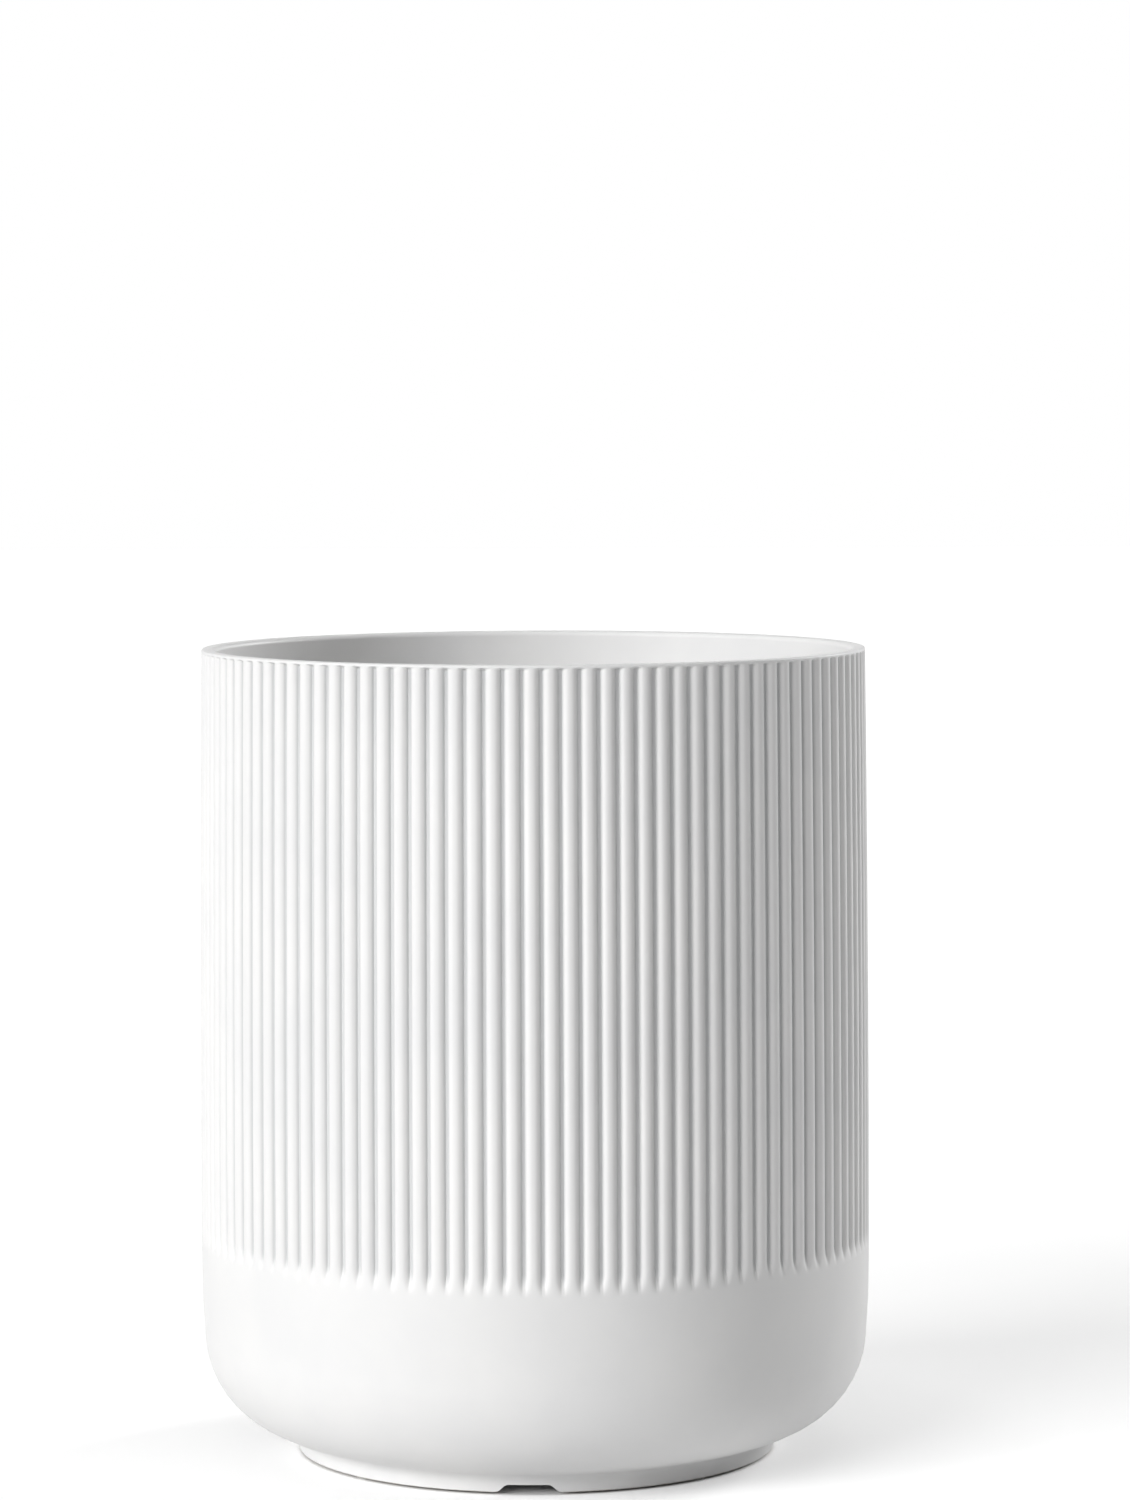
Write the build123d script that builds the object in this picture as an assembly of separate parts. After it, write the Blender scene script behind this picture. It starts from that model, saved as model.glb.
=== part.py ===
from build123d import *
import math
import os

# Reeded stoneware utensil crock, all sizes in millimetres.
# The origin is on the table under the middle of the crock, +Z points up
# and the drain notch in the foot ring faces the front, -Y.

# Overall form of the fired body, measured over the crests of the ribs
height = 180.0
wall_radius = 74.95
lip_radius = 73.95

# Ribs round the wall: round-backed bars with a narrow flat groove between them
rib_count = 114
rib_depth = 1.0

# One half rib from its crest outwards: (share of the pitch, share of the depth)
rib_section_shares = ((0.12, 0.0), (0.285, 0.34), (0.415, 1.0))

# The first rib stands half a pitch round from the front, so a groove faces the notch
first_rib_share = 0.5

# Where the grooves run out, into the plain band below and under the lip
plain_band = 2.9
lower_runout = 5.6
upper_runout = 0.4
lip_band = 0.2
rib_end_cover = 0.04
groove_backing = 0.4

# Lip edges
lip_outer_edge = 0.4
lip_inner_edge = 0.9

# Lower corner: the wall eases in, turns a round corner and runs to the foot
easing_radius = 240.0
easing_turn = 4.3
corner_radius = 22.2
underside_slope = 15.5

# Foot ring
foot_radius = 53.4
foot_draft = 7.0
foot_height = 4.0
foot_cove = 1.6
foot_edge = 0.4
foot_ring_width = 6.2
recess_depth = 2.6
recess_edge = 0.6

# Inside: the wall, underside and floor of the casting
rim_wall = 3.3
band_wall = 4.3
underside_wall = 4.3
floor_thickness = 5.6
inside_corner_radius = 17.5

# How much of the inside slope its blend into the flat floor takes up, and how
# much of the slope or wall beside it a corner arc may use at most
floor_blend_share = 0.2
corner_fit_share = 0.9

# Drain notch in the front of the foot ring
notch_top_width = 9.6
notch_bottom_width = 13.6
notch_height = 1.8
notch_top_round = 1.6
notch_bottom_round = 2.0

# Soft pads glued into shallow seats under the foot ring
pad_count = 4
pad_radius = 2.3
pad_thickness = 1.1
pad_proud = 0.5
pad_side_clearance = 0.15

# One overrun lets every cut pass clear through its wall
overrun = 5.0


def polar(radius, angle):
    return (radius * math.cos(math.radians(angle)), radius * math.sin(math.radians(angle)))


def onward(edge, length):
    """A straight run that leaves the end of an edge along its tangent."""
    return Line(edge @ 1, edge @ 1 + (edge % 1) * length)


def bend(edge, radius, turn):
    """An arc that leaves the end of an edge along its tangent."""
    return JernArc(edge @ 1, edge % 1, radius, turn)


def turned(lines):
    """The solid that an outline of joined lines makes round the middle axis."""
    return revolve(Plane.XZ * make_face(Curve() + lines), Axis.Z)


def heading(angle):
    """One step up and out, this many degrees from level."""
    return Vector(*polar(1, angle))


def foot_crease():
    """Where the side of the foot ring meets the sloping underside."""
    return Vector(foot_radius + foot_height * math.tan(math.radians(foot_draft)), pad_proud + foot_height)


def underside_and_corner(start):
    """From the foot's cove up to the plain wall, at the wall's own radius."""
    slope = math.radians(underside_slope)
    ease = math.radians(90 - easing_turn)
    easing_reach = easing_radius * (1 - math.sin(ease))
    room = wall_radius + rib_end_cover - easing_reach - start.X
    reach_share = math.sin(ease) - math.sin(slope)
    radius = min(corner_radius, corner_fit_share * room / reach_share)
    run = (room - radius * reach_share) / math.cos(slope)
    underside = Line(start, start + heading(underside_slope) * run)
    corner = bend(underside, radius, 90 - easing_turn - underside_slope)
    easing = bend(corner, easing_radius, easing_turn)
    return [underside, corner, easing]


def foot_and_corner():
    """The outside from the foot's lower edge up to the plain wall."""
    up_side = heading(90 - foot_draft)
    cove_end = foot_crease() + heading(underside_slope) * foot_cove
    foot = Polyline(
        (foot_radius - foot_edge, pad_proud),
        Vector(foot_radius, pad_proud) + up_side * foot_edge,
        foot_crease() - up_side * foot_cove,
        cove_end,
    )
    return [foot] + underside_and_corner(cove_end)


def plain_core():
    """Everything outside but the ribs, solid, with the ends of the grooves."""
    lower = foot_and_corner()
    band = onward(lower[-1], plain_band)
    core_radius = lip_radius - rib_depth - groove_backing
    lip_skin = lip_radius + rib_end_cover
    lip_foot = height - lip_outer_edge - lip_band
    low_rise = ((band @ 1).X - core_radius) * lower_runout / rib_depth
    top_rise = (lip_skin - core_radius) * upper_runout / rib_depth
    upper = Polyline(
        band @ 1,
        band @ 1 + Vector(core_radius - (band @ 1).X, low_rise),
        (core_radius, lip_foot - top_rise),
        (lip_skin, lip_foot),
        (lip_skin, height - lip_outer_edge),
        (lip_skin - lip_outer_edge, height),
        (0, height),
        (0, pad_proud),
        lower[0] @ 0,
    )
    return turned(lower + [band, upper])


def rib_section(crest_radius):
    """The reeded outline, all round, where the crests have this radius."""
    right = list(rib_section_shares)
    left = [(-along, down) for along, down in reversed(right)]
    pitch = 360 / rib_count
    points = []
    for number in range(rib_count):
        for along, down in left + right:
            angle = -90 + (first_rib_share + number + along) * pitch
            points.append(polar(crest_radius - down * rib_depth, angle))
    return make_face(Polyline(*points, close=True))


def reeded_sleeve():
    """The ribs, leaning in a little from the plain band up to the lip."""
    bottom = (foot_and_corner()[-1] @ 1).Y
    top = height - lip_outer_edge - lip_band / 2
    sections = [Pos(0, 0, bottom) * rib_section(wall_radius), Pos(0, 0, top) * rib_section(lip_radius)]
    return loft(sections, ruled=True)


def inside_space():
    """What the crock holds. Its floor rises with the underside, then turns up the wall."""
    floor_z = pad_proud + recess_depth + floor_thickness
    up_slope = heading(underside_slope)
    skin = foot_crease() + heading(90 + underside_slope) * underside_wall
    slope_foot = skin + up_slope * ((floor_z - skin.Y) / up_slope.Y)
    slope_length = (wall_radius - band_wall - slope_foot.X) / up_slope.X
    slope_head = slope_foot + up_slope * slope_length
    blend = slope_length * floor_blend_share
    turn = math.radians(90 - underside_slope)
    radius = min(inside_corner_radius, corner_fit_share * (slope_length - blend) / math.tan(turn / 2))
    rim = Vector(lip_radius - rim_wall, height - lip_inner_edge)
    slope_and_wall = FilletPolyline(slope_foot + up_slope * blend, slope_head, rim, radius=radius)
    floor = Polyline((0, floor_z), slope_foot - Vector(blend, 0), slope_and_wall @ 0)
    above = Polyline(
        rim,
        rim + Vector(lip_inner_edge, lip_inner_edge),
        rim + Vector(lip_inner_edge, lip_inner_edge + overrun),
        (0, height + overrun),
        (0, floor_z),
    )
    return turned([floor, slope_and_wall, above])


def underside_recess():
    """The hollow inside the foot ring, with broken edges."""
    ring_inside = foot_radius - foot_ring_width
    ceiling = pad_proud + recess_depth
    outline = Polyline(
        (0, ceiling),
        (ring_inside - recess_edge, ceiling),
        (ring_inside, ceiling - recess_edge),
        (ring_inside, pad_proud + foot_edge),
        (ring_inside + foot_edge, pad_proud),
        (ring_inside + foot_edge, pad_proud - overrun),
        (0, pad_proud - overrun),
        close=True,
    )
    return turned([outline])


def drain_notch():
    """A flared opening across the front of the foot ring."""
    base = pad_proud
    run = FilletPolyline(
        (-notch_bottom_width, base),
        (-notch_bottom_width / 2, base),
        (-notch_top_width / 2, base + notch_height),
        (notch_top_width / 2, base + notch_height),
        (notch_bottom_width / 2, base),
        (notch_bottom_width, base),
        radius=[notch_bottom_round, notch_top_round, notch_top_round, notch_bottom_round],
    )
    below = Polyline(
        run @ 1,
        (notch_bottom_width, base - overrun),
        (-notch_bottom_width, base - overrun),
        run @ 0,
    )
    ring_inside = foot_radius - foot_ring_width
    opening = Plane.XZ.offset(ring_inside - overrun) * make_face(Curve() + [run, below])
    return extrude(opening, foot_ring_width + 2 * overrun)


def pad_places():
    """Pad centres on the middle of the foot ring, clear of the notch."""
    ring_middle = foot_radius - foot_ring_width / 2
    return PolarLocations(ring_middle, pad_count, start_angle=180 / pad_count)


def pad_seat():
    seat_depth = pad_thickness - pad_proud
    return Pos(0, 0, pad_proud) * Cylinder(pad_radius + pad_side_clearance, 2 * seat_depth)


def foot_pad():
    """A small clear elastomer disc, glued face to face into its seat."""
    return Cylinder(pad_radius, pad_thickness, align=(Align.CENTER, Align.CENTER, Align.MIN))


def crock_body():
    outside = plain_core() + reeded_sleeve()
    body = outside - inside_space() - underside_recess() - drain_notch()
    return body - [place * pad_seat() for place in pad_places()]


def write_node(name, shape):
    shape.label = name
    export_step(shape, os.path.join("parts", name + ".step"))


os.makedirs("parts", exist_ok=True)
write_node("crock_body", crock_body())
for number, place in enumerate(pad_places(), start=1):
    write_node(f"foot_pad_{number}", place * foot_pad())
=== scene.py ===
import math

import bmesh
import bpy
from mathutils import Matrix, Vector


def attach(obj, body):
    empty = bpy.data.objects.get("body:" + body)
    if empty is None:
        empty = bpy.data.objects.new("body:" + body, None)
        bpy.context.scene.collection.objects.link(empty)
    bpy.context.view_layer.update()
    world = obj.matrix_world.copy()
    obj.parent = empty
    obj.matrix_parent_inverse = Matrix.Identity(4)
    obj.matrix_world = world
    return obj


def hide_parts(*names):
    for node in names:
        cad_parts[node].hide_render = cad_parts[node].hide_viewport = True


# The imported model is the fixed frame: metres, table at zero, drain notch towards -Y.
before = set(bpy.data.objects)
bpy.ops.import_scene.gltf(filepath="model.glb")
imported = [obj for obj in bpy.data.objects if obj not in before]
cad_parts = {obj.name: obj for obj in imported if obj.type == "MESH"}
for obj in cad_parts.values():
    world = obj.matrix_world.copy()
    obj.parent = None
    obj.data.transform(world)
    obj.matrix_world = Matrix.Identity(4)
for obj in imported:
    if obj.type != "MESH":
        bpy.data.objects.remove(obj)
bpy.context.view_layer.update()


# Stoneware body.
# One slip casting, with its wall, ribs, floor and foot ring, dipped in a matt white glaze
# and fired. The ribs are on the outside only and die out above the rounded lower corner.

MM = 0.001

# Ribs, and where along the wall their grooves start and reach full depth at either end
rib_count = 114
first_rib_share = 0.5
rib_depth = 1.0 * MM
rib_half_share = 0.42
rib_roundness = 2.6
flank_foot_share = 0.05
flank_foot_depth = 0.5
rib_feet = (46.4 * MM, 51.8 * MM)
rib_heads = (178.95 * MM, 179.5 * MM)

# Wall, leaning in a little towards the lip
belly_radius = 74.86 * MM
lip_lean = 0.95 * MM
lean_power = 1.8


def smooth_step(low, high, value):
    share = min(1.0, max(0.0, (value - low) / (high - low)))
    return share * share * (3 - 2 * share)


def groove_share(along):
    """How deep the reeding is, this share of a pitch from the rib's crest."""
    flank = min(1.0, abs(along) / rib_half_share) ** rib_roundness
    foot = (rib_half_share - flank_foot_share, rib_half_share + flank_foot_share)
    past_foot = smooth_step(*foot, abs(along))
    return flank + (1.0 - flank) * past_foot * flank_foot_depth


def crest_radius(z):
    share = max(0.0, (z - rib_feet[0]) / (rib_heads[1] - rib_feet[0]))
    return belly_radius - lip_lean * share**lean_power


def reeding_at(z):
    """The share of the full groove depth that is left at this height."""
    return smooth_step(*rib_feet, z) * (1.0 - smooth_step(*rib_heads, z))


def rounded(corners, steps_per_turn=48):
    """A line through corners (radius out, height, round) with each corner rounded off."""
    line = []
    for i, (x, z, bend) in enumerate(corners):
        here = Vector((x, z))
        if bend == 0 or i in (0, len(corners) - 1):
            line.append(here)
            continue
        to_last = (Vector(corners[i - 1][:2]) - here).normalized()
        to_next = (Vector(corners[i + 1][:2]) - here).normalized()
        between = to_last.angle(to_next)
        cut = bend / math.tan(between / 2)
        middle = here + (to_last + to_next).normalized() * (bend / math.sin(between / 2))
        start = here + to_last * cut - middle
        end = here + to_next * cut - middle
        turn = start.angle_signed(end)
        steps = max(2, round(abs(turn) / (2 * math.pi) * steps_per_turn))
        for k in range(steps + 1):
            line.append(middle + Matrix.Rotation(-turn * k / steps, 2) @ start)
    return line


# Inside: a flat floor that turns up a slope, then up the wall to the lip
floor_height = 8.7 * MM
floor_flat_radius = 30 * MM
slope_foot_radius = 52.95 * MM
slope_foot_round = 24 * MM
inner_radius = 70.65 * MM
slope_head_height = 13.61 * MM
inside_corner_round = 17.4 * MM
half_way_up = 90 * MM
lip_height = 180.0 * MM
lip_radius = crest_radius(rib_heads[1])
lip_inner_round = 1.2 * MM
lip_outer_round = 0.45 * MM
above_grooves = 0.03 * MM

# Outside, below the ribs: the wall eases in, turns a round corner and runs to the foot ring
below_grooves = 0.2 * MM
easing_height = 34.2 * MM
easing_round = 230 * MM
corner_radius, corner_height = 73.03 * MM, 9.81 * MM
corner_round = 22.2 * MM
crease_radius, crease_height = 53.89 * MM, 4.5 * MM
crease_round = 3.0 * MM

# Foot ring and the shallow recess inside it
foot_base = 0.5 * MM
foot_outer = 53.4 * MM
foot_inner = 47.2 * MM
foot_edge_round = 0.5 * MM
recess_ceiling = 3.1 * MM
recess_round = 1.0 * MM
recess_flat_radius = 30 * MM

inside_and_lip = rounded([
    (0.0, floor_height, 0.0),
    (floor_flat_radius, floor_height, 0.0),
    (slope_foot_radius, floor_height, slope_foot_round),
    (inner_radius, slope_head_height, inside_corner_round),
    (inner_radius, half_way_up, 0.0),
    (inner_radius, lip_height, lip_inner_round),
    (lip_radius, lip_height, lip_outer_round),
    (lip_radius, rib_heads[1] + above_grooves, 0.0),
])
corner_and_foot = rounded([
    (belly_radius, rib_feet[0] - below_grooves, 0.0),
    (belly_radius, easing_height, easing_round),
    (corner_radius, corner_height, corner_round),
    (crease_radius, crease_height, crease_round),
    (foot_outer, foot_base, foot_edge_round),
    (foot_inner, foot_base, foot_edge_round),
    (foot_inner, recess_ceiling, recess_round),
    (recess_flat_radius, recess_ceiling, 0.0),
    (0.0, recess_ceiling, 0.0),
])


def steps_down(high, low, steps):
    return [high - (high - low) * k / steps for k in range(steps + 1)]


# Points across one pitch, from groove to groove, and heights down the reeded wall
rib_shares = [0.0, 0.07, 0.14, 0.2, 0.26, 0.31, 0.35, 0.385, 0.42, 0.46, 0.5]
rib_shares = [-share for share in reversed(rib_shares[1:])] + rib_shares
plain_shares = [-0.5, 0.0, 0.5]
reeded_heights = steps_down(rib_heads[1], rib_heads[0], 6)
reeded_heights += [160 * MM, 130 * MM, 100 * MM, 75 * MM]
reeded_heights += steps_down(rib_feet[1] + below_grooves, rib_feet[0], 13)


def join_rows(strip, upper, lower):
    """Fills between two rows, also where one of them has more points."""
    i = j = 0
    while i < len(upper) - 1 or j < len(lower) - 1:
        step_upper = upper[i + 1][0] if i < len(upper) - 1 else math.inf
        step_lower = lower[j + 1][0] if j < len(lower) - 1 else math.inf
        if math.isclose(step_upper, step_lower):
            strip.faces.new((upper[i][1], upper[i + 1][1], lower[j + 1][1], lower[j][1]))
            i, j = i + 1, j + 1
        elif step_upper < step_lower:
            strip.faces.new((upper[i][1], upper[i + 1][1], lower[j][1]))
            i += 1
        else:
            strip.faces.new((upper[i][1], lower[j + 1][1], lower[j][1]))
            j += 1


def one_pitch_of_wall():
    """The crock's whole section, one rib wide, from floor centre to recess centre."""
    strip = bmesh.new()
    # Each point keeps how deep its groove sinks; the glaze uses it to paint shade into the
    # grooves.
    groove_depth = strip.verts.layers.float.new("groove_depth_share")
    pitch = 2 * math.pi / rib_count
    rows = [(point.x, point.y, plain_shares) for point in inside_and_lip]
    rows += [(crest_radius(z), z, rib_shares) for z in reeded_heights]
    rows += [(point.x, point.y, plain_shares) for point in corner_and_foot]
    last = None
    for radius, z, shares in rows:
        row = []
        for share in shares if radius > 0 else [0.0]:
            sunk = groove_share(share) * reeding_at(z) if shares is rib_shares else 0.0
            out = radius - rib_depth * sunk
            angle = (first_rib_share + share) * pitch - math.pi / 2
            vert = strip.verts.new((out * math.cos(angle), out * math.sin(angle), z))
            vert[groove_depth] = sunk
            row.append((share, vert))
        if last:
            join_rows(strip, last, row)
        last = row
    return strip


def new_object(name, bm):
    mesh = bpy.data.meshes.new(name)
    bm.to_mesh(mesh)
    bm.free()
    piece = bpy.data.objects.new(name, mesh)
    bpy.context.scene.collection.objects.link(piece)
    return piece


def repeat_round_tree(material):
    """Copies a strip round the upright axis, joins the copies and gives them their finish."""
    tree = bpy.data.node_groups.new("repeat the rib round the wall", "GeometryNodeTree")
    tree.interface.new_socket("Geometry", in_out="INPUT", socket_type="NodeSocketGeometry")
    count = tree.interface.new_socket("Rib count", in_out="INPUT", socket_type="NodeSocketInt")
    seam = tree.interface.new_socket("Seam gap", in_out="INPUT", socket_type="NodeSocketFloat")
    tree.interface.new_socket("Geometry", in_out="OUTPUT", socket_type="NodeSocketGeometry")
    nodes, links = tree.nodes, tree.links
    start = nodes.new("NodeGroupInput")
    places = nodes.new("GeometryNodePoints")
    index = nodes.new("GeometryNodeInputIndex")
    share = nodes.new("ShaderNodeMath")
    share.operation = "DIVIDE"
    turn = nodes.new("ShaderNodeMath")
    turn.operation = "MULTIPLY"
    turn.inputs[1].default_value = 2 * math.pi
    spin = nodes.new("ShaderNodeCombineXYZ")
    copies = nodes.new("GeometryNodeInstanceOnPoints")
    real = nodes.new("GeometryNodeRealizeInstances")
    merge = nodes.new("GeometryNodeMergeByDistance")
    finish = nodes.new("GeometryNodeSetMaterial")
    finish.inputs["Material"].default_value = material
    end = nodes.new("NodeGroupOutput")
    links.new(start.outputs["Rib count"], places.inputs["Count"])
    links.new(index.outputs[0], share.inputs[0])
    links.new(start.outputs["Rib count"], share.inputs[1])
    links.new(share.outputs[0], turn.inputs[0])
    links.new(turn.outputs[0], spin.inputs["Z"])
    links.new(places.outputs[0], copies.inputs["Points"])
    links.new(start.outputs["Geometry"], copies.inputs["Instance"])
    links.new(spin.outputs[0], copies.inputs["Rotation"])
    links.new(copies.outputs[0], real.inputs[0])
    links.new(real.outputs[0], merge.inputs["Geometry"])
    links.new(start.outputs["Seam gap"], merge.inputs["Distance"])
    links.new(merge.outputs[0], finish.inputs["Geometry"])
    links.new(finish.outputs[0], end.inputs["Geometry"])
    return tree, count.identifier, seam.identifier


# Drain notch through the front of the foot ring, and the pads' seats under it
notch_half_top = 4.8 * MM
notch_half_foot = 6.8 * MM
notch_height = 1.8 * MM
notch_top_round = 1.6 * MM
notch_foot_round = 2.0 * MM
notch_side_reach = 14 * MM
notch_overrun = 4 * MM
notch_below = 3 * MM
seat_radius = 2.45 * MM
seat_depth = 0.6 * MM


def drain_notch_cutter():
    """The flared opening that the caster cuts through the front of the foot ring."""
    top = foot_base + notch_height
    outline = rounded([
        (-notch_side_reach, foot_base, 0.0),
        (-notch_half_foot, foot_base, notch_foot_round),
        (-notch_half_top, top, notch_top_round),
        (notch_half_top, top, notch_top_round),
        (notch_half_foot, foot_base, notch_foot_round),
        (notch_side_reach, foot_base, 0.0),
        (notch_side_reach, foot_base - notch_below, 0.0),
        (-notch_side_reach, foot_base - notch_below, 0.0),
    ])
    cutter = bmesh.new()
    front = [cutter.verts.new((p.x, -foot_outer - notch_overrun, p.y)) for p in outline]
    back = [cutter.verts.new((p.x, -foot_inner + notch_overrun, p.y)) for p in outline]
    cutter.faces.new(front)
    cutter.faces.new(list(reversed(back)))
    for k in range(len(outline)):
        n = (k + 1) % len(outline)
        cutter.faces.new((front[k], back[k], back[n], front[n]))
    return cutter


def add_seat_cutters(cutter):
    """Four shallow round seats under the foot ring, at the quarters between the sides."""
    middle = (foot_outer + foot_inner) / 2
    for quarter in range(4):
        angle = math.radians(45 + 90 * quarter)
        place = Matrix.Translation((middle * math.cos(angle), middle * math.sin(angle), foot_base))
        bmesh.ops.create_cone(
            cutter, cap_ends=True, segments=40, radius1=seat_radius, radius2=seat_radius,
            depth=2 * seat_depth, matrix=place,
        )


def plain_mesh_of(piece):
    """The piece with its modifiers worked in, as a plain mesh with none left."""
    evaluated = piece.evaluated_get(bpy.context.evaluated_depsgraph_get())
    mesh = bpy.data.meshes.new_from_object(evaluated)
    piece.modifiers.clear()
    old = piece.data
    piece.data = mesh
    bpy.data.meshes.remove(old)


def node_material(name):
    material = bpy.data.materials.new(name)
    material.use_nodes = True
    nodes = material.node_tree.nodes
    nodes.clear()
    surface = nodes.new("ShaderNodeBsdfPrincipled")
    output = nodes.new("ShaderNodeOutputMaterial")
    material.node_tree.links.new(surface.outputs[0], output.inputs[0])
    return material, surface


def noise(nodes, links, where, scale, detail=3.0):
    texture = nodes.new("ShaderNodeTexNoise")
    texture.inputs["Scale"].default_value = scale
    texture.inputs["Detail"].default_value = detail
    links.new(where, texture.inputs["Vector"])
    return texture.outputs["Fac"]


def ranged(nodes, links, value, low, high, to_low, to_high):
    """A value from one range, carried over to another and held inside it."""
    span = nodes.new("ShaderNodeMapRange")
    limits = zip(("From Min", "From Max", "To Min", "To Max"), (low, high, to_low, to_high))
    for socket, amount in limits:
        span.inputs[socket].default_value = amount
    links.new(value, span.inputs["Value"])
    return span.outputs["Result"]


def blend(nodes, links, share, first, second):
    """Mixes two colours, each a colour or a socket, by a share."""
    mix = nodes.new("ShaderNodeMix")
    mix.data_type = "RGBA"
    first_colour, second_colour, mixed_colour = mix.inputs[6], mix.inputs[7], mix.outputs[2]
    links.new(share, mix.inputs["Factor"])
    for socket, colour in ((first_colour, first), (second_colour, second)):
        if isinstance(colour, tuple):
            socket.default_value = (*colour, 1.0)
        else:
            links.new(colour, socket)
    return mixed_colour


def worked_out(nodes, links, operation, first, second):
    """One value out of two, such as their sum, product or maximum."""
    step = nodes.new("ShaderNodeMath")
    step.operation = operation
    links.new(first, step.inputs[0])
    links.new(second, step.inputs[1])
    return step.outputs[0]


def fine_grain_group():
    """The fine tooth of a fired or moulded surface: its pattern and the normal to match."""
    group = bpy.data.node_groups.new("fine grain", "ShaderNodeTree")
    group.interface.new_socket("Position", in_out="INPUT", socket_type="NodeSocketVector")
    for name in ("Scale", "Detail", "Relief"):
        group.interface.new_socket(name, in_out="INPUT", socket_type="NodeSocketFloat")
    group.interface.new_socket("Grain", in_out="OUTPUT", socket_type="NodeSocketFloat")
    group.interface.new_socket("Normal", in_out="OUTPUT", socket_type="NodeSocketVector")
    nodes, links = group.nodes, group.links
    start = nodes.new("NodeGroupInput")
    texture = nodes.new("ShaderNodeTexNoise")
    tooth = nodes.new("ShaderNodeBump")
    tooth.inputs["Distance"].default_value = 0.02 * MM
    end = nodes.new("NodeGroupOutput")
    links.new(start.outputs["Position"], texture.inputs["Vector"])
    links.new(start.outputs["Scale"], texture.inputs["Scale"])
    links.new(start.outputs["Detail"], texture.inputs["Detail"])
    links.new(start.outputs["Relief"], tooth.inputs["Strength"])
    links.new(texture.outputs["Fac"], tooth.inputs["Height"])
    links.new(texture.outputs["Fac"], end.inputs["Grain"])
    links.new(tooth.outputs[0], end.inputs["Normal"])
    return group


fine_grain_tree = fine_grain_group()


def fine_grain(nodes, links, where, scale, detail, relief):
    grain = nodes.new("ShaderNodeGroup")
    grain.node_tree = fine_grain_tree
    links.new(where, grain.inputs["Position"])
    for socket, amount in (("Scale", scale), ("Detail", detail), ("Relief", relief)):
        grain.inputs[socket].default_value = amount
    return grain.outputs["Grain"], grain.outputs["Normal"]


# Glaze colours: where it runs thin, the painted shade laid grey into the grooves by their depth,
# and the bare clay under the foot
thin_glaze = (0.835, 0.832, 0.826)
even_glaze = (0.80, 0.80, 0.80)
painted_groove_shade = (0.62, 0.625, 0.63)
dark_clay = (0.60, 0.57, 0.52)
light_clay = (0.70, 0.67, 0.62)
clay_roughness = 0.85
glaze_starts = (0.55 * MM, 0.75 * MM)
glaze_waver = 0.12 * MM


def matt_white_glaze():
    """A touch warmer where the glaze thins, painted shade in the grooves by their depth, bare clay
    under the foot.
    """
    material, surface = node_material("matt white glaze on stoneware")
    nodes, links = material.node_tree.nodes, material.node_tree.links
    place = nodes.new("ShaderNodeTexCoord").outputs["Object"]
    groove_depth = nodes.new("ShaderNodeAttribute")
    groove_depth.attribute_name = "groove_depth_share"
    clouds = noise(nodes, links, place, scale=38.0, detail=4.0)
    grain, tooth = fine_grain(nodes, links, place, scale=2600.0, detail=2.0, relief=0.2)
    cloudy = ranged(nodes, links, clouds, 0.35, 0.65, 0.0, 1.0)
    # Painted shade: the grooves are coloured greyer the deeper they sink, standing in for their
    # shadow.
    groove_shaded = ranged(nodes, links, groove_depth.outputs["Fac"], 0.45, 1.0, 0.0, 1.0)
    glaze_colour = blend(nodes, links, cloudy, thin_glaze, even_glaze)
    glaze_colour = blend(nodes, links, groove_shaded, glaze_colour, painted_groove_shade)

    height = nodes.new("ShaderNodeSeparateXYZ")
    links.new(place, height.inputs[0])
    wavy = noise(nodes, links, place, scale=180.0)
    waver = ranged(nodes, links, wavy, 0.3, 0.7, -glaze_waver, glaze_waver)
    level = worked_out(nodes, links, "ADD", height.outputs["Z"], waver)
    bare = ranged(nodes, links, level, glaze_starts[1], glaze_starts[0], 0.0, 1.0)
    speckle = ranged(nodes, links, grain, 0.4, 0.6, 0.0, 1.0)
    clay_colour = blend(nodes, links, speckle, dark_clay, light_clay)
    links.new(blend(nodes, links, bare, glaze_colour, clay_colour), surface.inputs["Base Color"])

    rough = nodes.new("ShaderNodeMix")
    glaze_rough, clay_rough = rough.inputs[2], rough.inputs[3]
    links.new(bare, rough.inputs["Factor"])
    links.new(ranged(nodes, links, clouds, 0.3, 0.7, 0.46, 0.56), glaze_rough)
    clay_rough.default_value = clay_roughness
    links.new(rough.outputs[0], surface.inputs["Roughness"])
    surface.inputs["IOR"].default_value = 1.5

    ripple = nodes.new("ShaderNodeBump")
    ripple.inputs["Strength"].default_value = 0.25
    ripple.inputs["Distance"].default_value = 0.08 * MM
    links.new(noise(nodes, links, place, scale=420.0, detail=2.0), ripple.inputs["Height"])
    links.new(tooth, ripple.inputs["Normal"])
    links.new(ripple.outputs[0], surface.inputs["Normal"])
    return material


glaze = matt_white_glaze()
crock = new_object("crock", one_pitch_of_wall())
tree, count_input, seam_input = repeat_round_tree(glaze)
reeding = crock.modifiers.new("ribs", "NODES")
reeding.node_group = tree
reeding[count_input] = rib_count
reeding[seam_input] = 0.004 * MM
plain_mesh_of(crock)

cutter_shape = drain_notch_cutter()
add_seat_cutters(cutter_shape)
bmesh.ops.recalc_face_normals(cutter_shape, faces=cutter_shape.faces)
cutter = new_object("notch_and_seats", cutter_shape)
cutter.data.materials.append(glaze)
cut = crock.modifiers.new("notch and seats", "BOOLEAN")
cut.operation = "DIFFERENCE"
cut.solver = "EXACT"
cut.object = cutter
bpy.context.view_layer.update()
plain_mesh_of(crock)
bpy.data.objects.remove(cutter)

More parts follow.
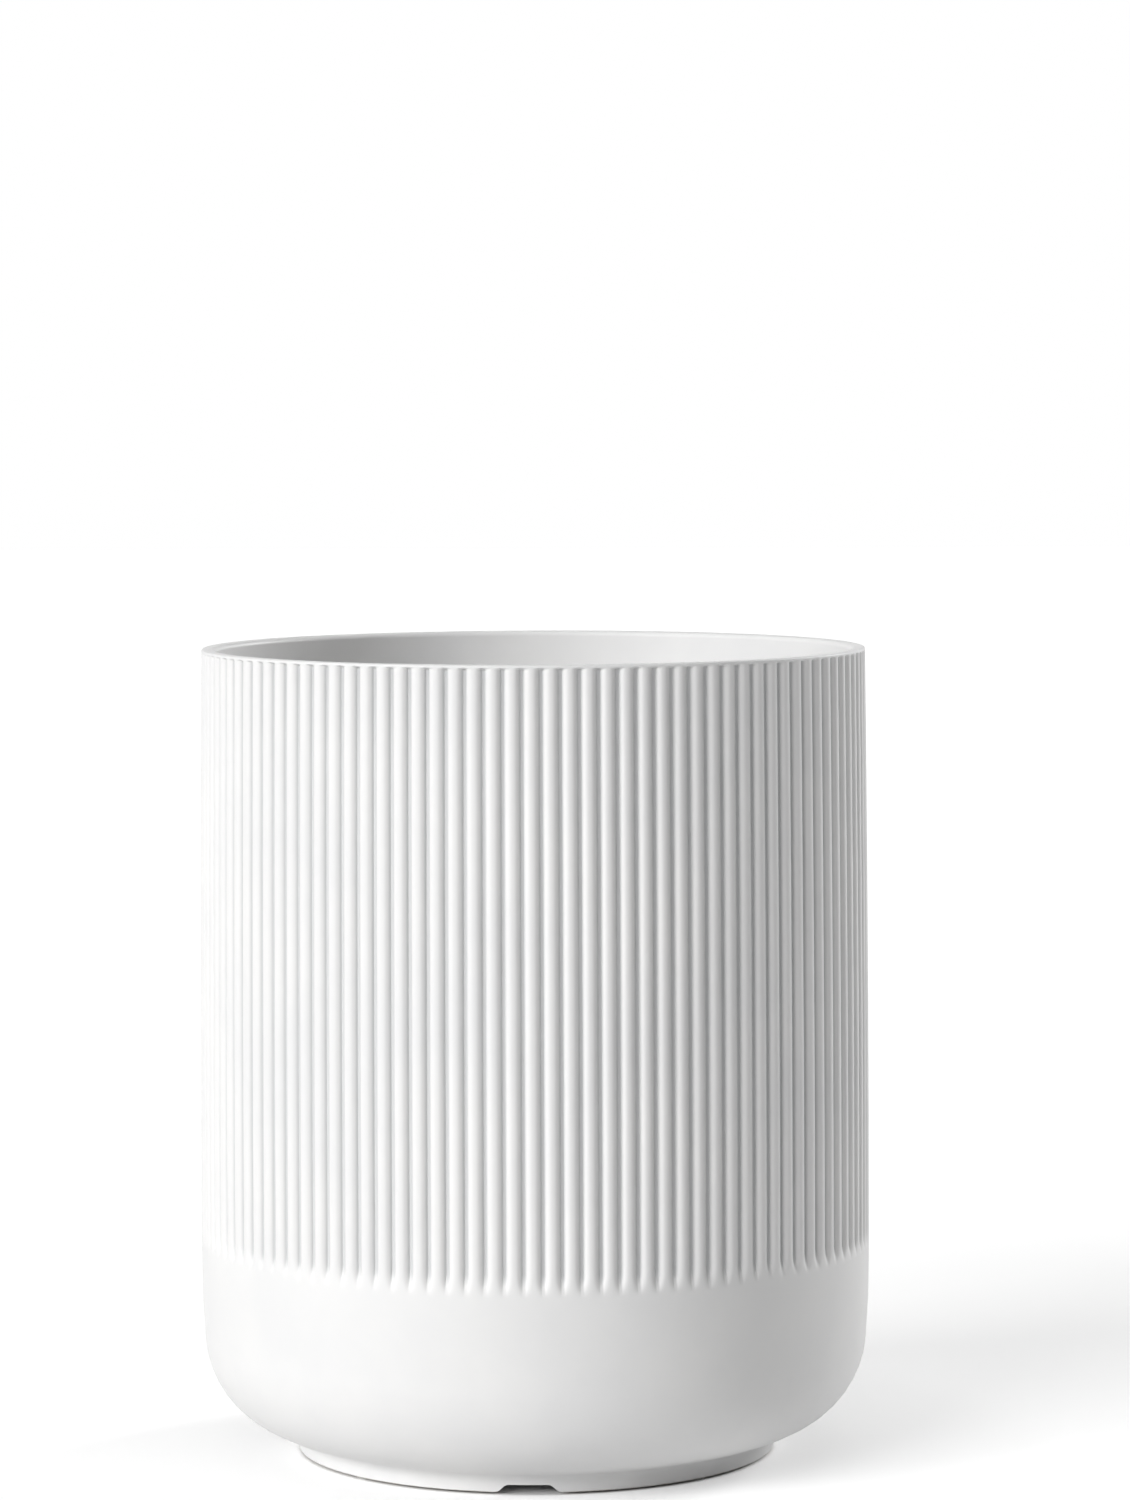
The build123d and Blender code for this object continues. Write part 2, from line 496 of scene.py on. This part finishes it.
skin = bmesh.new()
skin.from_mesh(crock.data)
bmesh.ops.recalc_face_normals(skin, faces=skin.faces)
if skin.calc_volume(signed=True) < 0:
    bmesh.ops.reverse_faces(skin, faces=skin.faces)
skin.to_mesh(crock.data)
skin.free()
crock.data.shade_smooth()
crock.data.set_sharp_from_angle(angle=math.radians(42))
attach(crock, "root")
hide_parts("crock_body")


# Foot pads.
# Four small discs of clear elastomer, glued into the seats under the foot ring.
# They keep the bare clay off the table; only their edges show from the side.

dark_elastomer = (0.42, 0.42, 0.41)
light_elastomer = (0.52, 0.52, 0.50)


def clear_elastomer():
    material, surface = node_material("clouded clear elastomer")
    nodes, links = material.node_tree.nodes, material.node_tree.links
    place = nodes.new("ShaderNodeTexCoord").outputs["Object"]
    dust, skin_normal = fine_grain(nodes, links, place, scale=1500.0, detail=3.0, relief=0.15)
    dusty = ranged(nodes, links, dust, 0.35, 0.65, 0.0, 1.0)
    tone = blend(nodes, links, dusty, dark_elastomer, light_elastomer)
    links.new(tone, surface.inputs["Base Color"])
    links.new(ranged(nodes, links, dust, 0.3, 0.7, 0.32, 0.5), surface.inputs["Roughness"])
    links.new(skin_normal, surface.inputs["Normal"])
    return material


elastomer = clear_elastomer()
for number in range(1, 5):
    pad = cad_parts[f"foot_pad_{number}"]
    pad.data.materials.clear()
    pad.data.materials.append(elastomer)


# Table, light and camera.
# A pale table, soft lamps on the left, above, and behind on the right, and a white surround.
# None of this is part of the object.

def soft_sun(name, round_from_front, above, spread, strength):
    """A broad soft lamp far off, so many degrees round from the front and above the table."""
    light = bpy.data.lights.new(name, "SUN")
    light.angle = math.radians(spread)
    light.energy = strength
    holder = bpy.data.objects.new(name, light)
    side, lift = math.radians(round_from_front), math.radians(above)
    ahead = -math.cos(side) * math.cos(lift)
    towards = Vector((math.sin(side) * math.cos(lift), ahead, math.sin(lift)))
    holder.rotation_euler = towards.to_track_quat("Z", "Y").to_euler()
    bpy.context.scene.collection.objects.link(holder)


soft_sun("front left light", round_from_front=-34, above=26, spread=30, strength=1.33)
soft_sun("left light", round_from_front=-58, above=20, spread=22, strength=1.54)
soft_sun("edge light from behind", round_from_front=131, above=20, spread=16, strength=1.7)
soft_sun("light from above", round_from_front=0, above=86, spread=60, strength=0.5)


def seen_directly(nodes, links):
    """One for rays from the camera or off a shiny or clear surface, nought for light itself."""
    rays = nodes.new("ShaderNodeLightPath").outputs
    shiny = worked_out(nodes, links, "MAXIMUM", rays["Is Camera Ray"], rays["Is Glossy Ray"])
    return worked_out(nodes, links, "MAXIMUM", shiny, rays["Is Transmission Ray"])


# How much the table is lifted towards white from just outside the foot, and more farther off; the
# missing lift under the foot and the weaker lift near the crock are painted shade and a painted
# contact shadow
near_lift, near_lift_from, near_lift_full = 0.28, 52.5 * MM, 54 * MM
far_lift, far_lift_from, far_lift_full = 0.13, 58 * MM, 120 * MM


def pale_table():
    """A matt pale table, lifted to white where it is seen; unlifted under the foot and less near
    the crock, as painted shade.
    """
    material, surface = node_material("pale table")
    nodes, links = material.node_tree.nodes, material.node_tree.links
    place = nodes.new("ShaderNodeTexCoord").outputs["Object"]
    shade = noise(nodes, links, place, scale=3.0)
    pale = blend(nodes, links, shade, (0.86, 0.86, 0.86), (0.88, 0.88, 0.88))
    links.new(pale, surface.inputs["Base Color"])
    surface.inputs["Roughness"].default_value = 0.9
    away = nodes.new("ShaderNodeVectorMath")
    away.operation = "LENGTH"
    links.new(place, away.inputs[0])
    out = away.outputs["Value"]
    # Painted shade: no lift under the foot or in the notch, and less close to the crock as a
    # painted contact shadow.
    near = ranged(nodes, links, out, near_lift_from, near_lift_full, 0.0, near_lift)
    far = ranged(nodes, links, out, far_lift_from, far_lift_full, 0.0, far_lift)
    lift = worked_out(nodes, links, "ADD", near, far)
    glow = nodes.new("ShaderNodeEmission")
    seen_lift = worked_out(nodes, links, "MULTIPLY", lift, seen_directly(nodes, links))
    links.new(seen_lift, glow.inputs["Strength"])
    both = nodes.new("ShaderNodeAddShader")
    output = next(n for n in nodes if n.type == "OUTPUT_MATERIAL")
    links.new(surface.outputs[0], both.inputs[0])
    links.new(glow.outputs[0], both.inputs[1])
    links.new(both.outputs[0], output.inputs[0])
    return material


table_shape = bmesh.new()
bmesh.ops.create_grid(table_shape, x_segments=2, y_segments=2, size=6.0)
table = new_object("floor", table_shape)
table.data.materials.append(pale_table())

surround = bpy.data.worlds.new("studio")
bpy.context.scene.world = surround
surround.use_nodes = True
surround_nodes, surround_links = surround.node_tree.nodes, surround.node_tree.links
surround_nodes.clear()
sky = surround_nodes.new("ShaderNodeBackground")
sky.inputs["Color"].default_value = (1, 1, 1, 1)
seen_sky = seen_directly(surround_nodes, surround_links)
sky_strength = ranged(surround_nodes, surround_links, seen_sky, 0, 1, 0.02, 1.0)
surround_links.new(sky_strength, sky.inputs["Strength"])
sky_output = surround_nodes.new("ShaderNodeOutputWorld")
surround_links.new(sky.outputs[0], sky_output.inputs[0])


def photographers_camera():
    """The photograph's view: a long lens a little over a metre off, looking slightly down."""
    distance, rise = 1.1416, 0.2401
    tilt_yaw_roll_round = (4.17, 0.352, -0.198, 1.9)
    pitch, yaw, roll, round_by = map(math.radians, tilt_yaw_roll_round)
    sensor, focal_pixels, picture_pixels = 36.0, 5126.0, 1500.0
    level = math.cos(pitch)
    ahead = Vector((math.sin(yaw) * level, math.cos(yaw) * level, -math.sin(pitch)))
    right = Vector((math.cos(yaw), -math.sin(yaw), 0.0))
    down = ahead.cross(right)
    tilted_right = right * math.cos(roll) - down * math.sin(roll)
    tilted_down = right * math.sin(roll) + down * math.cos(roll)
    turned = Matrix((tilted_right, -tilted_down, -ahead)).transposed().to_4x4()
    place = Matrix.Translation((0, -distance, rise))
    lens = bpy.data.cameras.new("camera")
    lens.sensor_width = sensor
    lens.lens = focal_pixels / picture_pixels * sensor
    lens.clip_start = 0.05
    holder = bpy.data.objects.new("camera", lens)
    holder.matrix_world = Matrix.Rotation(round_by, 4, "Z") @ place @ turned
    bpy.context.scene.collection.objects.link(holder)
    bpy.context.scene.camera = holder


photographers_camera()
bpy.context.scene.view_settings.view_transform = "Standard"
